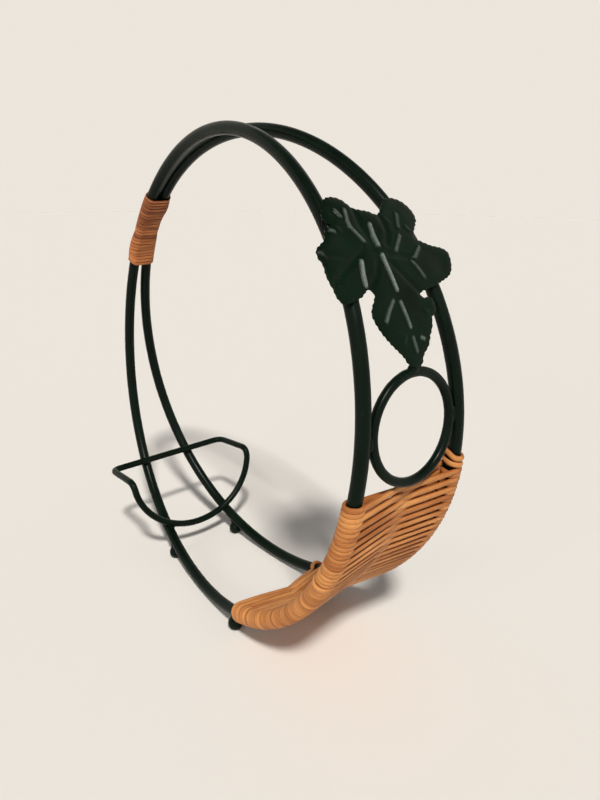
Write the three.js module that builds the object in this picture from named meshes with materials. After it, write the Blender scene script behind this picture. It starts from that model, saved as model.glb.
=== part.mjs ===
// A wire bottle holder: two flat steel hoops that meet at the grip and spread towards the neck ring.
// Units are millimetres. +X points to the pouring end, +Z is up, and the table is z = 0.
import * as THREE from "three";
import { mergeVertices } from "three/addons/utils/BufferGeometryUtils.js";

// Driving dimensions: stock and clearances
const ROD_DIAMETER = 6;
const WIRE_DIAMETER = 4;
const SEAT_GAP = 0.3;

// Driving dimensions: hoops
const HOOP_RADIUS = 120.8;
const HOOP_OUT_OF_ROUND = 2.35;
const HOOP_LONG_AXIS = degrees(-35.3);
const HOOP_MEETING_ANGLE = degrees(229.8);
const HOOP_MEETING_GAP = 0.4;
const HOOP_WIDEST_SPACING = 63.4;
const HOOP_STEPS = 84;
const ROUND_SIDES = 8;

// Driving dimensions: feet
const FOOT_DIAMETER = 8;
const FOOT_FLAT_DEPTH = 0.4;
const FOOT_SIDES = 12;
const FOOT_ARC_STEPS = 6;
const REAR_FOOT_ANGLE = degrees(-20.4);

// Driving dimensions: neck ring and rear support
const RING_ANGLE = degrees(95.8);
const RING_STEPS = 32;
const BAR_ANGLE = degrees(-48.4);
const ARM_SPREAD = 0.7;
const SHOULDER_X = -55.9;
const SHOULDER_HEIGHT = 52.3;
const SHOULDER_HALF_WIDTH = 41;
const U_FORWARD_LEAN = 6;
const WIRE_BEND = 6;
const SUPPORT_STEPS = 76;

// Driving dimensions: vine leaf
const LEAF_THICKNESS = 1;
const LEAF_EDGE_STEPS = 80;
const LEAF_RINGS = 3;

// Driving dimensions: cane windings
const CRADLE_CANE = { width: 2.1, thickness: 1.2, turnGap: 0.65 };
const CRADLE_TOP_ANGLE = degrees(84.4);
const CRADLE_END_ANGLE = degrees(19.4);
const CRADLE_MOST_LOOPS = 24;
const CRADLE_CLOSE_TURNS = 3;
const GRIP_CANE = { width: 1.6, thickness: 0.9, turnGap: 0.6 };
const GRIP_TOP_ANGLE = degrees(222);
const GRIP_END_ANGLE = degrees(246);
const GRIP_MOST_LOOPS = 22;
const CANE_FLAT_SHARE = 0.55;
const TURN_STEPS = 7;
const CLOSE_TURN_STEPS = 10;

// Fineness of the searches and of the weld between faces
const SEARCH_ROUNDS = 50;
const U_SEARCH_STEPS = 200;
const ROD_SEARCH_STEPS = 160;
const ROD_SEARCH_REACH = degrees(60);
const WELD_TOLERANCE = 1e-5;

// Finishes
const paint = (tint) => new THREE.MeshStandardMaterial({ color: tint, roughness: 0.42, metalness: 0.1 });
const cane = (tint) => new THREE.MeshStandardMaterial({ color: tint, roughness: 0.6, metalness: 0 });
const HOOP_GREEN = 0x1f3a2d;
const WIRE_GREEN = 0x234233;
const LEAF_GREEN = 0x1b3b2b;
const CRADLE_TAN = 0xd29556;
const GRIP_HONEY = 0xd9b184;

function degrees(angle) {
  return THREE.MathUtils.degToRad(angle);
}

// Hoop shape in the side view: the angle runs from straight down towards the pouring end.
const rodRadius = ROD_DIAMETER / 2;
const wireRadius = WIRE_DIAMETER / 2;
const meetingHalf = rodRadius + HOOP_MEETING_GAP / 2;
const middleHalf = (HOOP_WIDEST_SPACING / 2 + meetingHalf) / 2;
const spreadHalf = (HOOP_WIDEST_SPACING / 2 - meetingHalf) / 2;
const widestAngle = HOOP_MEETING_ANGLE - Math.PI;

function profileRadius(angle) {
  return HOOP_RADIUS + HOOP_OUT_OF_ROUND * Math.cos(2 * (angle - HOOP_LONG_AXIS));
}

function halfSpacing(angle) {
  const along = (profileRadius(angle) / HOOP_RADIUS) * Math.cos(angle - widestAngle);
  return middleHalf + spreadHalf * along;
}

const footHeight = FOOT_DIAMETER - FOOT_FLAT_DEPTH;
const rodHeightOverFoot = footHeight + SEAT_GAP + rodRadius;
const hoopCentreHeight = rodHeightOverFoot + profileRadius(REAR_FOOT_ANGLE) * Math.cos(REAR_FOOT_ANGLE);

// A point of the side profile, moved outwards by the offset and sideways to y.
function profilePoint(angle, offset, y) {
  const reach = profileRadius(angle) + offset;
  return new THREE.Vector3(reach * Math.sin(angle), y, hoopCentreHeight - reach * Math.cos(angle));
}

// Finds where a rising function of one number crosses zero between two bounds.
function solve(rising, low, high) {
  let [below, above] = [low, high];
  for (let round = 0; round < SEARCH_ROUNDS; round += 1) {
    const middle = (below + above) / 2;
    if (rising(middle) < 0) below = middle;
    else above = middle;
  }
  return (below + above) / 2;
}

const frontFootAngle = solve((angle) => profilePoint(angle, 0, 0).z - rodHeightOverFoot, 0, Math.PI / 2);

// Meshes: each geometry is welded to one closed body and named.
function piece(name, geometry, material) {
  geometry.deleteAttribute("normal");
  geometry.deleteAttribute("uv");
  const welded = mergeVertices(geometry, WELD_TOLERANCE);
  welded.computeVertexNormals();
  const mesh = new THREE.Mesh(welded, material);
  mesh.name = name;
  return mesh;
}

class Route extends THREE.Curve {
  constructor(pointAt) {
    super();
    this.pointAt = pointAt;
  }

  getPoint(share) {
    return this.pointAt(share);
  }
}

// Hoops
function hoop(name, side) {
  const route = new Route((share) => {
    const angle = share * 2 * Math.PI;
    return profilePoint(angle, 0, side * halfSpacing(angle));
  });
  const geometry = new THREE.TubeGeometry(route, HOOP_STEPS, rodRadius, ROUND_SIDES, true);
  return piece(name, geometry, paint(HOOP_GREEN));
}

// Neck ring: lies in the tangent plane of the hoops, and just fits between them.
const ringRadius = halfSpacing(RING_ANGLE) - rodRadius - SEAT_GAP - wireRadius;

function neckRing() {
  const geometry = new THREE.TorusGeometry(ringRadius, wireRadius, ROUND_SIDES, RING_STEPS);
  const ring = piece("neck_ring", geometry, paint(WIRE_GREEN));
  ring.position.copy(profilePoint(RING_ANGLE, 0, 0));
  ring.rotation.y = Math.PI - RING_ANGLE;
  return ring;
}

// Rear support: one closed wire with a stop bar, two arms and a U that lies on the rods.
const restDistance = rodRadius + SEAT_GAP + wireRadius;

function uPoint(depth, turn) {
  const drop = Math.sin(turn);
  const x = SHOULDER_X + U_FORWARD_LEAN * drop;
  return new THREE.Vector3(x, SHOULDER_HALF_WIDTH * Math.cos(turn), SHOULDER_HEIGHT - depth * drop);
}

function clearanceToRod(depth) {
  let least = Infinity;
  for (let step = 0; step <= U_SEARCH_STEPS; step += 1) {
    const wire = uPoint(depth, (step / U_SEARCH_STEPS) * (Math.PI / 2));
    for (let turn = 0; turn <= ROD_SEARCH_STEPS; turn += 1) {
      const angle = -(turn / ROD_SEARCH_STEPS) * ROD_SEARCH_REACH;
      least = Math.min(least, wire.distanceTo(profilePoint(angle, 0, halfSpacing(angle))));
    }
  }
  return least - restDistance;
}

function rearSupport() {
  const depth = solve((trial) => -clearanceToRod(trial), SHOULDER_HALF_WIDTH / 2, SHOULDER_HEIGHT);
  const bar = profilePoint(BAR_ANGLE, -restDistance, 0);
  const barHalfLength = SHOULDER_HALF_WIDTH - ARM_SPREAD;
  const firstTurn = Math.asin(WIRE_BEND / depth);
  const path = new THREE.CurvePath();
  const barEnd = (side, inset) => new THREE.Vector3(bar.x, side * (barHalfLength - inset), bar.z);
  const corner = (side) => barEnd(side, 0);
  const shoulder = (side) => new THREE.Vector3(SHOULDER_X, side * SHOULDER_HALF_WIDTH, SHOULDER_HEIGHT);
  const armPoint = (side, fromCorner) => {
    const arm = shoulder(side).sub(corner(side));
    return corner(side).add(arm.setLength(fromCorner));
  };
  const armLength = shoulder(1).distanceTo(corner(1));
  const uEnd = (side) => uPoint(depth, side > 0 ? firstTurn : Math.PI - firstTurn);
  path.add(new THREE.LineCurve3(barEnd(-1, WIRE_BEND), barEnd(1, WIRE_BEND)));
  path.add(new THREE.QuadraticBezierCurve3(barEnd(1, WIRE_BEND), corner(1), armPoint(1, WIRE_BEND)));
  path.add(new THREE.LineCurve3(armPoint(1, WIRE_BEND), armPoint(1, armLength - WIRE_BEND)));
  path.add(new THREE.QuadraticBezierCurve3(armPoint(1, armLength - WIRE_BEND), shoulder(1), uEnd(1)));
  path.add(new Route((share) => uPoint(depth, firstTurn + share * (Math.PI - 2 * firstTurn))));
  path.add(new THREE.QuadraticBezierCurve3(uEnd(-1), shoulder(-1), armPoint(-1, armLength - WIRE_BEND)));
  path.add(new THREE.LineCurve3(armPoint(-1, armLength - WIRE_BEND), armPoint(-1, WIRE_BEND)));
  path.add(new THREE.QuadraticBezierCurve3(armPoint(-1, WIRE_BEND), corner(-1), barEnd(-1, WIRE_BEND)));
  const geometry = new THREE.TubeGeometry(path, SUPPORT_STEPS, wireRadius, ROUND_SIDES, true);
  return piece("rear_support", geometry, paint(WIRE_GREEN));
}

// Feet: balls with a small flat, each under a rod.
function foot(name, angle, side) {
  const ballRadius = FOOT_DIAMETER / 2;
  const centreHeight = ballRadius - FOOT_FLAT_DEPTH;
  const startTurn = Math.acos(centreHeight / ballRadius);
  const outline = [new THREE.Vector2(0, 0)];
  for (let step = 0; step <= FOOT_ARC_STEPS; step += 1) {
    const turn = startTurn + (step / FOOT_ARC_STEPS) * (Math.PI - startTurn);
    const out = step === FOOT_ARC_STEPS ? 0 : ballRadius * Math.sin(turn);
    outline.push(new THREE.Vector2(out, centreHeight - ballRadius * Math.cos(turn)));
  }
  const geometry = new THREE.LatheGeometry(outline, FOOT_SIDES);
  geometry.rotateX(Math.PI / 2);
  const ball = piece(name, geometry, paint(HOOP_GREEN));
  const rod = profilePoint(angle, 0, side * halfSpacing(angle));
  ball.position.set(rod.x, rod.y, 0);
  return ball;
}

// Vine leaf: sideways and upwards places of its edge, from the point where the veins meet.
// Its tip reaches down to the top of the neck ring.
const LEAF_EDGE = [
  [0, -42.5], [3.1, -41.6], [4.1, -39], [8.1, -35.5], [9.9, -32], [12.2, -28.5], [12.9, -25.6],
  [15.8, -23.6], [16.2, -20.8], [14.2, -17.9], [12.2, -15.2], [18.8, -14], [24.3, -12.6],
  [30.4, -10.4], [33.2, -6.8], [34, -1.2], [30.8, 0.9], [25.9, 2.3], [20.9, 4.7], [18.5, 6.2],
  [20.4, 9.7], [24.5, 14.2], [25, 18.4], [22.6, 23.2], [18.5, 25.3], [14.6, 25.4], [11.2, 23.1],
  [6.9, 18.9], [4.1, 17.8], [1, 19.4], [-4, 20.6], [-6.5, 21.8], [-8.7, 25.1], [-12.6, 26.9],
  [-17.3, 26], [-20, 22.9], [-23.3, 17], [-20.9, 14.2], [-24.7, 12.6], [-27.1, 8.7], [-32.2, 5.6],
  [-33.3, 3], [-32.1, 0.3], [-32.6, -4.6], [-31.5, -8.6], [-31.3, -11.8], [-29.1, -15],
  [-24, -14.7], [-19.6, -13.5], [-15.6, -11.2], [-13.6, -13.6], [-16.4, -18.5], [-17.3, -21.5],
  [-14.6, -27.8], [-9.8, -33.8], [-6, -37.8], [-3.7, -41.2],
];

function vineLeaf() {
  const edgePoints = LEAF_EDGE.map(([across, up]) => new THREE.Vector3(across, up, 0));
  const edge = new THREE.CatmullRomCurve3(edgePoints, true, "centripetal").getSpacedPoints(LEAF_EDGE_STEPS);
  const sheetRadius = HOOP_RADIUS + rodRadius + SEAT_GAP + LEAF_THICKNESS / 2;
  const tip = Math.min(...LEAF_EDGE.map(([, up]) => up));
  const centreAngle = RING_ANGLE + (ringRadius + wireRadius + SEAT_GAP - tip) / sheetRadius;
  const positions = [];
  const place = (across, up, layer) => {
    const angle = centreAngle + up / sheetRadius;
    const offset = rodRadius + SEAT_GAP + layer * LEAF_THICKNESS;
    positions.push(...profilePoint(angle, offset, across).toArray());
  };
  for (const layer of [0, 1]) {
    place(0, 0, layer);
    for (let ring = 1; ring <= LEAF_RINGS; ring += 1) {
      const share = ring / LEAF_RINGS;
      for (let step = 0; step < LEAF_EDGE_STEPS; step += 1) {
        place(edge[step].x * share, edge[step].y * share, layer);
      }
    }
  }
  const layerSize = 1 + LEAF_RINGS * LEAF_EDGE_STEPS;
  const at = (layer, ring, step) => {
    const around = step % LEAF_EDGE_STEPS;
    return layer * layerSize + (ring === 0 ? 0 : 1 + (ring - 1) * LEAF_EDGE_STEPS + around);
  };
  const faces = [];
  const face = (outside, a, b, c) => faces.push(...(outside ? [a, b, c] : [a, c, b]));
  for (const layer of [0, 1]) {
    for (let step = 0; step < LEAF_EDGE_STEPS; step += 1) {
      face(layer === 1, at(layer, 0, 0), at(layer, 1, step), at(layer, 1, step + 1));
      for (let ring = 1; ring < LEAF_RINGS; ring += 1) {
        const near = [at(layer, ring, step), at(layer, ring, step + 1)];
        const far = [at(layer, ring + 1, step), at(layer, ring + 1, step + 1)];
        face(layer === 1, near[0], far[0], far[1]);
        face(layer === 1, near[0], far[1], near[1]);
      }
    }
  }
  for (let step = 0; step < LEAF_EDGE_STEPS; step += 1) {
    const inner = [at(0, LEAF_RINGS, step), at(0, LEAF_RINGS, step + 1)];
    const outer = [at(1, LEAF_RINGS, step), at(1, LEAF_RINGS, step + 1)];
    face(true, inner[0], inner[1], outer[1]);
    face(true, inner[0], outer[1], outer[0]);
  }
  return piece("vine_leaf", indexedGeometry(positions, faces), paint(LEAF_GREEN));
}

function indexedGeometry(positions, faces) {
  const geometry = new THREE.BufferGeometry();
  geometry.setAttribute("position", new THREE.Float32BufferAttribute(positions, 3));
  geometry.setIndex(faces);
  return geometry;
}

// Cane lies flat on the rods, so its width runs along the hoops.
function alongHoops(point) {
  return new THREE.Vector3(hoopCentreHeight - point.z, 0, point.x).normalize();
}

// Flat oval section, counterclockwise: shares of the half width and of the half thickness.
const CANE_SECTION = [
  [1, 0], [CANE_FLAT_SHARE, 1], [-CANE_FLAT_SHARE, 1],
  [-1, 0], [-CANE_FLAT_SHARE, -1], [CANE_FLAT_SHARE, -1],
];

// Cane strands: one unbroken flat oval band along a list of points, closed by a cap at each end.
function strandGeometry(points, size) {
  const positions = [];
  const faces = [];
  const tangentAt = (index) => {
    const before = points[Math.max(index - 1, 0)];
    const after = points[Math.min(index + 1, points.length - 1)];
    return after.clone().sub(before).normalize();
  };
  points.forEach((point, index) => {
    const tangent = tangentAt(index);
    const broad = alongHoops(point);
    broad.addScaledVector(tangent, -broad.dot(tangent)).normalize();
    const thin = tangent.clone().cross(broad);
    for (const [across, through] of CANE_SECTION) {
      const corner = point.clone().addScaledVector(broad, (across * size.width) / 2);
      positions.push(...corner.addScaledVector(thin, (through * size.thickness) / 2).toArray());
    }
  });
  const sides = CANE_SECTION.length;
  const at = (index, corner) => index * sides + (corner % sides);
  for (let index = 0; index + 1 < points.length; index += 1) {
    for (let corner = 0; corner < sides; corner += 1) {
      faces.push(at(index, corner), at(index, corner + 1), at(index + 1, corner + 1));
      faces.push(at(index, corner), at(index + 1, corner + 1), at(index + 1, corner));
    }
  }
  const last = points.length - 1;
  for (let corner = 1; corner + 1 < sides; corner += 1) {
    faces.push(at(0, 0), at(0, corner + 1), at(0, corner));
    faces.push(at(last, 0), at(last, corner), at(last, corner + 1));
  }
  return indexedGeometry(positions, faces);
}

// The least gap between stretches of one strand that lie at least four widths apart along it.
function leastSelfGap(points, size) {
  const samples = [];
  let travelled = 0;
  for (let index = 0; index + 1 < points.length; index += 1) {
    const length = points[index].distanceTo(points[index + 1]);
    const parts = Math.max(1, Math.ceil(length / (size.width / 4)));
    for (let part = 0; part < parts; part += 1) {
      const share = part / parts;
      const at = points[index].clone().lerp(points[index + 1], share);
      samples.push({ at, along: travelled + share * length });
    }
    travelled += length;
  }
  const apart = size.width * 4;
  let least = Infinity;
  for (let first = 0; first < samples.length; first += 1) {
    const broad = alongHoops(samples[first].at);
    for (let second = first + 1; second < samples.length; second += 1) {
      if (samples[second].along - samples[first].along < apart) continue;
      const between = samples[second].at.clone().sub(samples[first].at);
      const sideways = between.dot(broad);
      const through = between.addScaledVector(broad, -sideways).length();
      least = Math.min(least, Math.max(Math.abs(sideways) - size.width, through - size.thickness));
    }
  }
  return least;
}

// Straight ends: the strand runs on for one width along its last direction.
function withStraightEnds(points, size) {
  const run = (end, beside) => end.clone().add(end.clone().sub(beside).setLength(size.width));
  const last = points.length - 1;
  return [run(points[0], points[1]), ...points, run(points[last], points[last - 1])];
}

function winding(name, points, size, material) {
  const route = withStraightEnds(points, size);
  console.log(`${name}: least gap between turns ${leastSelfGap(route, size).toFixed(2)} mm`);
  return piece(name, strandGeometry(route, size), material);
}

// Cradle: a figure-eight winding round both rods, after a few close turns at the top of the left rod.
function cradleWinding() {
  const turnRadius = rodRadius + SEAT_GAP + CRADLE_CANE.thickness / 2;
  const innerRadius = HOOP_RADIUS - turnRadius;
  const arc = (CRADLE_TOP_ANGLE - CRADLE_END_ANGLE) * innerRadius;
  const halfPitchLeast = CRADLE_CANE.width + CRADLE_CANE.turnGap;
  const loops = Math.min(CRADLE_MOST_LOOPS, Math.floor(arc / (2 * halfPitchLeast)));
  const stepAngle = (CRADLE_TOP_ANGLE - CRADLE_END_ANGLE) / loops;
  const closeStep = halfPitchLeast / innerRadius;
  const points = [];
  const roundRod = (angle, side, turn) => {
    const y = side * (halfSpacing(angle) - turnRadius * Math.cos(turn));
    return profilePoint(angle, turnRadius * Math.sin(turn), y);
  };
  const tangentTurn = (angle) => Math.acos(turnRadius / halfSpacing(angle));
  const closeStart = tangentTurn(CRADLE_TOP_ANGLE);
  for (let step = 0; step < CRADLE_CLOSE_TURNS * CLOSE_TURN_STEPS; step += 1) {
    const left = CRADLE_CLOSE_TURNS - step / CLOSE_TURN_STEPS;
    points.push(roundRod(CRADLE_TOP_ANGLE + left * closeStep, 1, closeStart - left * 2 * Math.PI));
  }
  for (let loop = 0; loop < loops; loop += 1) {
    for (const side of [1, -1]) {
      const start = CRADLE_TOP_ANGLE - (loop + (side > 0 ? 0 : 0.5)) * stepAngle;
      const from = tangentTurn(start);
      const sweep = 2 * (Math.PI - from);
      for (let step = 0; step <= TURN_STEPS; step += 1) {
        const share = step / TURN_STEPS;
        points.push(roundRod(start - share * stepAngle * 0.5, side, from + share * sweep));
      }
    }
  }
  return winding("cradle_winding", points, CRADLE_CANE, cane(CRADLE_TAN));
}

// Grip: close turns round both rods together.
function gripWinding() {
  const turnRadius = rodRadius + SEAT_GAP + GRIP_CANE.thickness / 2;
  const arc = (GRIP_END_ANGLE - GRIP_TOP_ANGLE) * (HOOP_RADIUS - turnRadius);
  const loops = Math.min(GRIP_MOST_LOOPS, Math.floor(arc / (GRIP_CANE.width + GRIP_CANE.turnGap)));
  const stepAngle = (GRIP_END_ANGLE - GRIP_TOP_ANGLE) / loops;
  const points = [];
  for (let loop = 0; loop < loops; loop += 1) {
    for (let step = 0; step < 2 * TURN_STEPS; step += 1) {
      const side = step < TURN_STEPS ? 1 : -1;
      const share = (step % TURN_STEPS) / (TURN_STEPS - 1);
      const angle = GRIP_TOP_ANGLE + (loop + step / (2 * TURN_STEPS)) * stepAngle;
      const turn = share * Math.PI;
      const y = side * (halfSpacing(angle) + turnRadius * Math.sin(turn));
      points.push(profilePoint(angle, side * turnRadius * Math.cos(turn), y));
    }
  }
  return winding("grip_winding", points, GRIP_CANE, cane(GRIP_HONEY));
}

// Assembly: the group stands on the table with the middle of its outline over the origin.
const group = new THREE.Group();
group.add(hoop("hoop_right", -1), hoop("hoop_left", 1));
group.add(neckRing(), rearSupport(), vineLeaf());
for (const [word, side] of [["right", -1], ["left", 1]]) {
  group.add(foot(`foot_rear_${word}`, REAR_FOOT_ANGLE, side));
  group.add(foot(`foot_front_${word}`, frontFootAngle, side));
}
group.add(cradleWinding(), gripWinding());
group.updateMatrixWorld(true);
const bounds = new THREE.Box3().setFromObject(group, true);
group.position.x = -(bounds.min.x + bounds.max.x) / 2;
group.updateMatrixWorld(true);

export default group;
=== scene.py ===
"""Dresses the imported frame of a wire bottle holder: enamelled rods, a pressed vine leaf and wound cane."""
import math
import random

import bpy
import numpy as np
from mathutils import Matrix, Vector
from mathutils.geometry import delaunay_2d_cdt
from mathutils.noise import noise


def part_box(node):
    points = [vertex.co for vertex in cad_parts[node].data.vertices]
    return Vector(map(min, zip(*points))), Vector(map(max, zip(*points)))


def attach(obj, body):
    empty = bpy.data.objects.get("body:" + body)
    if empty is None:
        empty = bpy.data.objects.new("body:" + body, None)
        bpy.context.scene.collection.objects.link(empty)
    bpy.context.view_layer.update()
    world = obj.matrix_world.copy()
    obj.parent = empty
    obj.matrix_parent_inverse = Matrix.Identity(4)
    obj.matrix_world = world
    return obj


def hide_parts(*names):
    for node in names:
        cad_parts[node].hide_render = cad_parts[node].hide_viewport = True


bl_info = {
    "name": "Wire Bottle Holder",
    "version": (1, 0, 0),
    "blender": (4, 5, 0),
    "location": "3D View > Sidebar > Bottle Holder",
    "description": "Builds an enamelled wire bottle holder with a pressed leaf and cane windings",
    "category": "Add Mesh",
}

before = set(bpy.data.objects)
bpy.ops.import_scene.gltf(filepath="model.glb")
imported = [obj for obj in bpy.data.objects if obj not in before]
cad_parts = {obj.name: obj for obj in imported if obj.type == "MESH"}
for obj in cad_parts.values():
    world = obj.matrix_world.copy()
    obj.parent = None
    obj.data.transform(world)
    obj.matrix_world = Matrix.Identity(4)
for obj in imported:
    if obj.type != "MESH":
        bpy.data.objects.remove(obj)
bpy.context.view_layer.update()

MM = 0.001

# Leaf: sideways and upwards places of its edge in millimetres, from the point where the veins meet
LEAF_EDGE = [
    (0, -42.5), (3.1, -41.6), (4.1, -39), (8.1, -35.5), (9.9, -32), (12.2, -28.5), (12.9, -25.6),
    (15.8, -23.6), (16.2, -20.8), (15.2, -18.3), (10.4, -17.4), (10.3, -15.8), (13.8, -14.8), (18.8, -14),
    (24.3, -12.6), (30.4, -10.4), (33.2, -6.8), (34, -1.2), (30.8, 0.9), (25.9, 2.3), (20.9, 4.7),
    (18.5, 6.2), (20.4, 9.7), (24.5, 14.2), (25, 18.4), (22.6, 23.2), (18.5, 25.3), (14.6, 25.4),
    (11.2, 23.1), (6.9, 18.9), (4.1, 17.8), (1, 19.4), (-4, 20.6), (-6.5, 21.8), (-8.7, 25.1),
    (-12.6, 26.9), (-17.3, 26), (-20, 22.9), (-23.3, 17), (-20.9, 14.4), (-24.7, 12.6), (-27.1, 8.7),
    (-32.2, 5.6), (-33.3, 3), (-32.1, 0.3), (-32.6, -4.6), (-31.5, -8.6), (-31.3, -11.8), (-29.1, -15),
    (-24, -14.7), (-19.6, -13.5), (-15.6, -11.2), (-13.4, -13.6), (-16.2, -17.6), (-17.5, -20.6),
    (-14.6, -27.8), (-9.8, -33.8), (-6, -37.8), (-3.7, -41.2),
]

# Leaf: pressed ribs, each a line of places in millimetres and its share of the full rib height
LEAF_RIBS = [
    (((-2.4, 13.3), (-3.1, 9), (-3.2, 4.4)), 0.9),
    (((-3.4, 0.4), (-3.3, -4.4), (-3, -9.1), (-2.5, -13.3)), 1.0),
    (((-2.3, -17.9), (-1.8, -21.3), (-0.7, -27.4)), 0.85),
    (((-0.3, -31.4), (0.4, -36.6)), 0.7),
    (((-15.9, 20.1), (-14.9, 17.3)), 0.7),
    (((-11.2, 20.1), (-12.7, 15.5), (-12.8, 12.8), (-9.5, 6.6)), 0.75),
    (((14.5, 17), (11.4, 11.1)), 0.6),
    (((9.8, 7.3), (4.6, 1.7)), 0.7),
    (((17.7, 1.9), (13.2, -1.9)), 0.7),
    (((10.9, -3.3), (12.7, -6.4), (14.4, -10.1)), 0.65),
    (((-14.8, -1), (-16.3, -5.8), (-17.1, -10.2)), 1.0),
    (((-6, -17), (-9.4, -20.3), (-12.3, -23.9)), 0.75),
    (((-4.1, -30.9), (-5.4, -32.9)), 0.45),
    (((4.2, -32.1), (5.4, -32.7)), 0.8),
    (((9.6, -22.7), (10.8, -23.3)), 0.4),
    (((7.3, 14.8), (7.9, 13.6)), 0.35),
    (((15.9, 10.9), (16.6, 9.9)), 0.5),
    (((-22.8, 12), (-21.4, 11.4)), 0.7),
    (((-19.4, 12.8), (-18.5, 11.8)), 0.4),
    (((-32.2, 3.9), (-31.2, 3.1)), 0.6),
]

# Leaf: creases between the pressed fields, in the same terms
LEAF_CREASES = [
    (((-6, 3.4), (-12.8, 2.7), (-21.6, 1.9), (-29, 3.2)), 0.7),
    (((-10.5, 3.4), (-13.5, 2.3), (-16.4, 0.7), (-20.5, -1.6), (-27.5, -5.4), (-30, -7.4)), 1.0),
    (((0.5, 0.6), (6.5, -0.4), (11, -2.2)), 0.5),
    (((1.5, 4.8), (4.5, 9.5), (5, 16)), 0.4),
    (((-5.5, 6), (-7.2, 13), (-6.6, 19.6)), 0.4),
    (((-6.4, -1), (-10, -7), (-14.5, -10.5)), 0.5),
    (((0.4, -3.5), (5.2, -10), (9.6, -15.5)), 0.5),
]


# Settings that a user would change

def length(name, description, millimetres):
    return bpy.props.FloatProperty(
        name=name, description=description, default=millimetres * MM, precision=5,
        subtype="DISTANCE", unit="LENGTH")


def turn(name, description, degrees):
    return bpy.props.FloatProperty(
        name=name, description=description, default=math.radians(degrees), subtype="ANGLE", unit="ROTATION")


def count(name, description, number):
    return bpy.props.IntProperty(name=name, description=description, default=number, min=1)


def amount(name, description, number):
    return bpy.props.FloatProperty(name=name, description=description, default=number, min=0)


def share(name, description, number):
    return bpy.props.FloatProperty(
        name=name, description=description, default=number, min=0, max=1, subtype="FACTOR")


def tint(name, description, red, green, blue):
    return bpy.props.FloatVectorProperty(
        name=name, description=description, default=(red, green, blue, 1), size=4, min=0, max=1,
        subtype="COLOR")


class HoopSettings(bpy.types.PropertyGroup):
    rod: length("Rod", "Diameter of the rod that the hoops are bent from", 6)
    radius: length("Radius", "Mean radius of a hoop in the side view", 120.8)
    out_of_round: length("Out of Round", "How far the long axis stands out past the mean radius", 2.35)
    long_axis: turn("Long Axis", "Direction of the long axis, from straight down", -35.3)
    meeting: turn("Meeting", "Direction of the place where the hoops nearly touch", 229.8)
    meeting_gap: length("Meeting Gap", "Gap between the rods at the grip", 0.4)
    widest: length("Widest Spacing", "Distance between the rods opposite the grip", 63.4)
    path_steps: count("Path Steps", "Points along a hoop", 240)
    round_sides: count("Round Sides", "Sides of the rod's section", 24)


class WireSettings(bpy.types.PropertyGroup):
    wire: length("Wire", "Diameter of the wire of the ring and the rear support", 4)
    seat_gap: length("Seat Gap", "Gap left for the weld between two wires", 0.3)
    ring_angle: turn("Ring", "Direction of the neck ring from the middle of the hoops", 95.8)
    bar_angle: turn("Stop Bar", "Direction of the stop bar from the middle of the hoops", -48.4)
    arm_spread: length("Arm Spread", "How much wider the support is at its shoulders than at its bar", 0.7)
    shoulder_x: length("Shoulder Place", "Place of the shoulders along the holder", -55.9)
    shoulder_height: length("Shoulder Height", "Height of the shoulders over the table", 52.3)
    shoulder_half: length("Shoulder Half Width", "Half the width between the shoulders", 41)
    lean: length("Forward Lean", "How far the bottom of the U stands forward", 6)
    bend: length("Bend", "Length of wire that each corner takes", 6)
    rear_foot: turn("Rear Foot", "Direction of the rear feet from the middle of the hoops", -20.4)
    foot: length("Foot", "Diameter of a ball foot", 8)
    bead_unevenness: length("Bead Unevenness", "How lumpy the weld beads are", 0.7)


class LeafSettings(bpy.types.PropertyGroup):
    thickness: length("Thickness", "Thickness of the pressed sheet", 0.9)
    rib_height: length("Rib Height", "How far the ribs stand out", 0.95)
    rib_half: length("Rib Half Width", "Half the width of a rib", 1.35)
    crease_depth: length("Crease Depth", "How far the creases lie in", 0.7)
    crease_half: length("Crease Half Width", "Half the width of a crease", 2.4)
    tooth_depth: length("Tooth Depth", "Depth of the small teeth of the edge", 0.42)
    tooth_length: length("Tooth Length", "Distance from tooth to tooth", 2.5)
    grain: length("Mesh Grain", "Distance between the points of the sheet", 0.5)


class CaneSettings(bpy.types.PropertyGroup):
    cradle_width: length("Cradle Cane Width", "Width of the flat oval cane of the cradle", 2.7)
    cradle_thickness: length("Cradle Cane Thickness", "Thickness of the flat oval cane of the cradle", 1.6)
    span_girth: amount("Span Girth", "How much thicker the cane looks between the rods", 1.06)
    cradle_top: turn("Cradle Top", "Where the cane comes out over the left rod and starts to turn", 86.2)
    cradle_start: turn("Cradle Start", "Where the cane first reaches the right rod", 84.2)
    cradle_end: turn("Cradle End", "Where the cane last reaches the left rod", 19.8)
    cradle_loops: count("Cradle Loops", "Figure eights from the start to the end", 30)
    pile: length("Pile", "How much fuller the winding is at its low end", 1.5)
    grip_width: length("Grip Cane Width", "Width of the flat oval cane of the grip", 2.2)
    grip_thickness: length("Grip Cane Thickness", "Thickness of the flat oval cane of the grip", 0.75)
    grip_top: turn("Grip Top", "Where the grip winding starts", 221.6)
    grip_end: turn("Grip End", "Where the grip winding ends", 246.2)
    grip_loops: count("Grip Loops", "Turns round both rods", 23)
    grip_swell: length("Grip Swell", "How much thicker the ends of the grip are", 0.35)
    unevenness: length("Unevenness", "How far a strand wanders from its line", 0.16)
    strand_sides: count("Strand Sides", "Sides of the cane's section", 12)
    seed: count("Seed", "Start of the random wander", 7)


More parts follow.
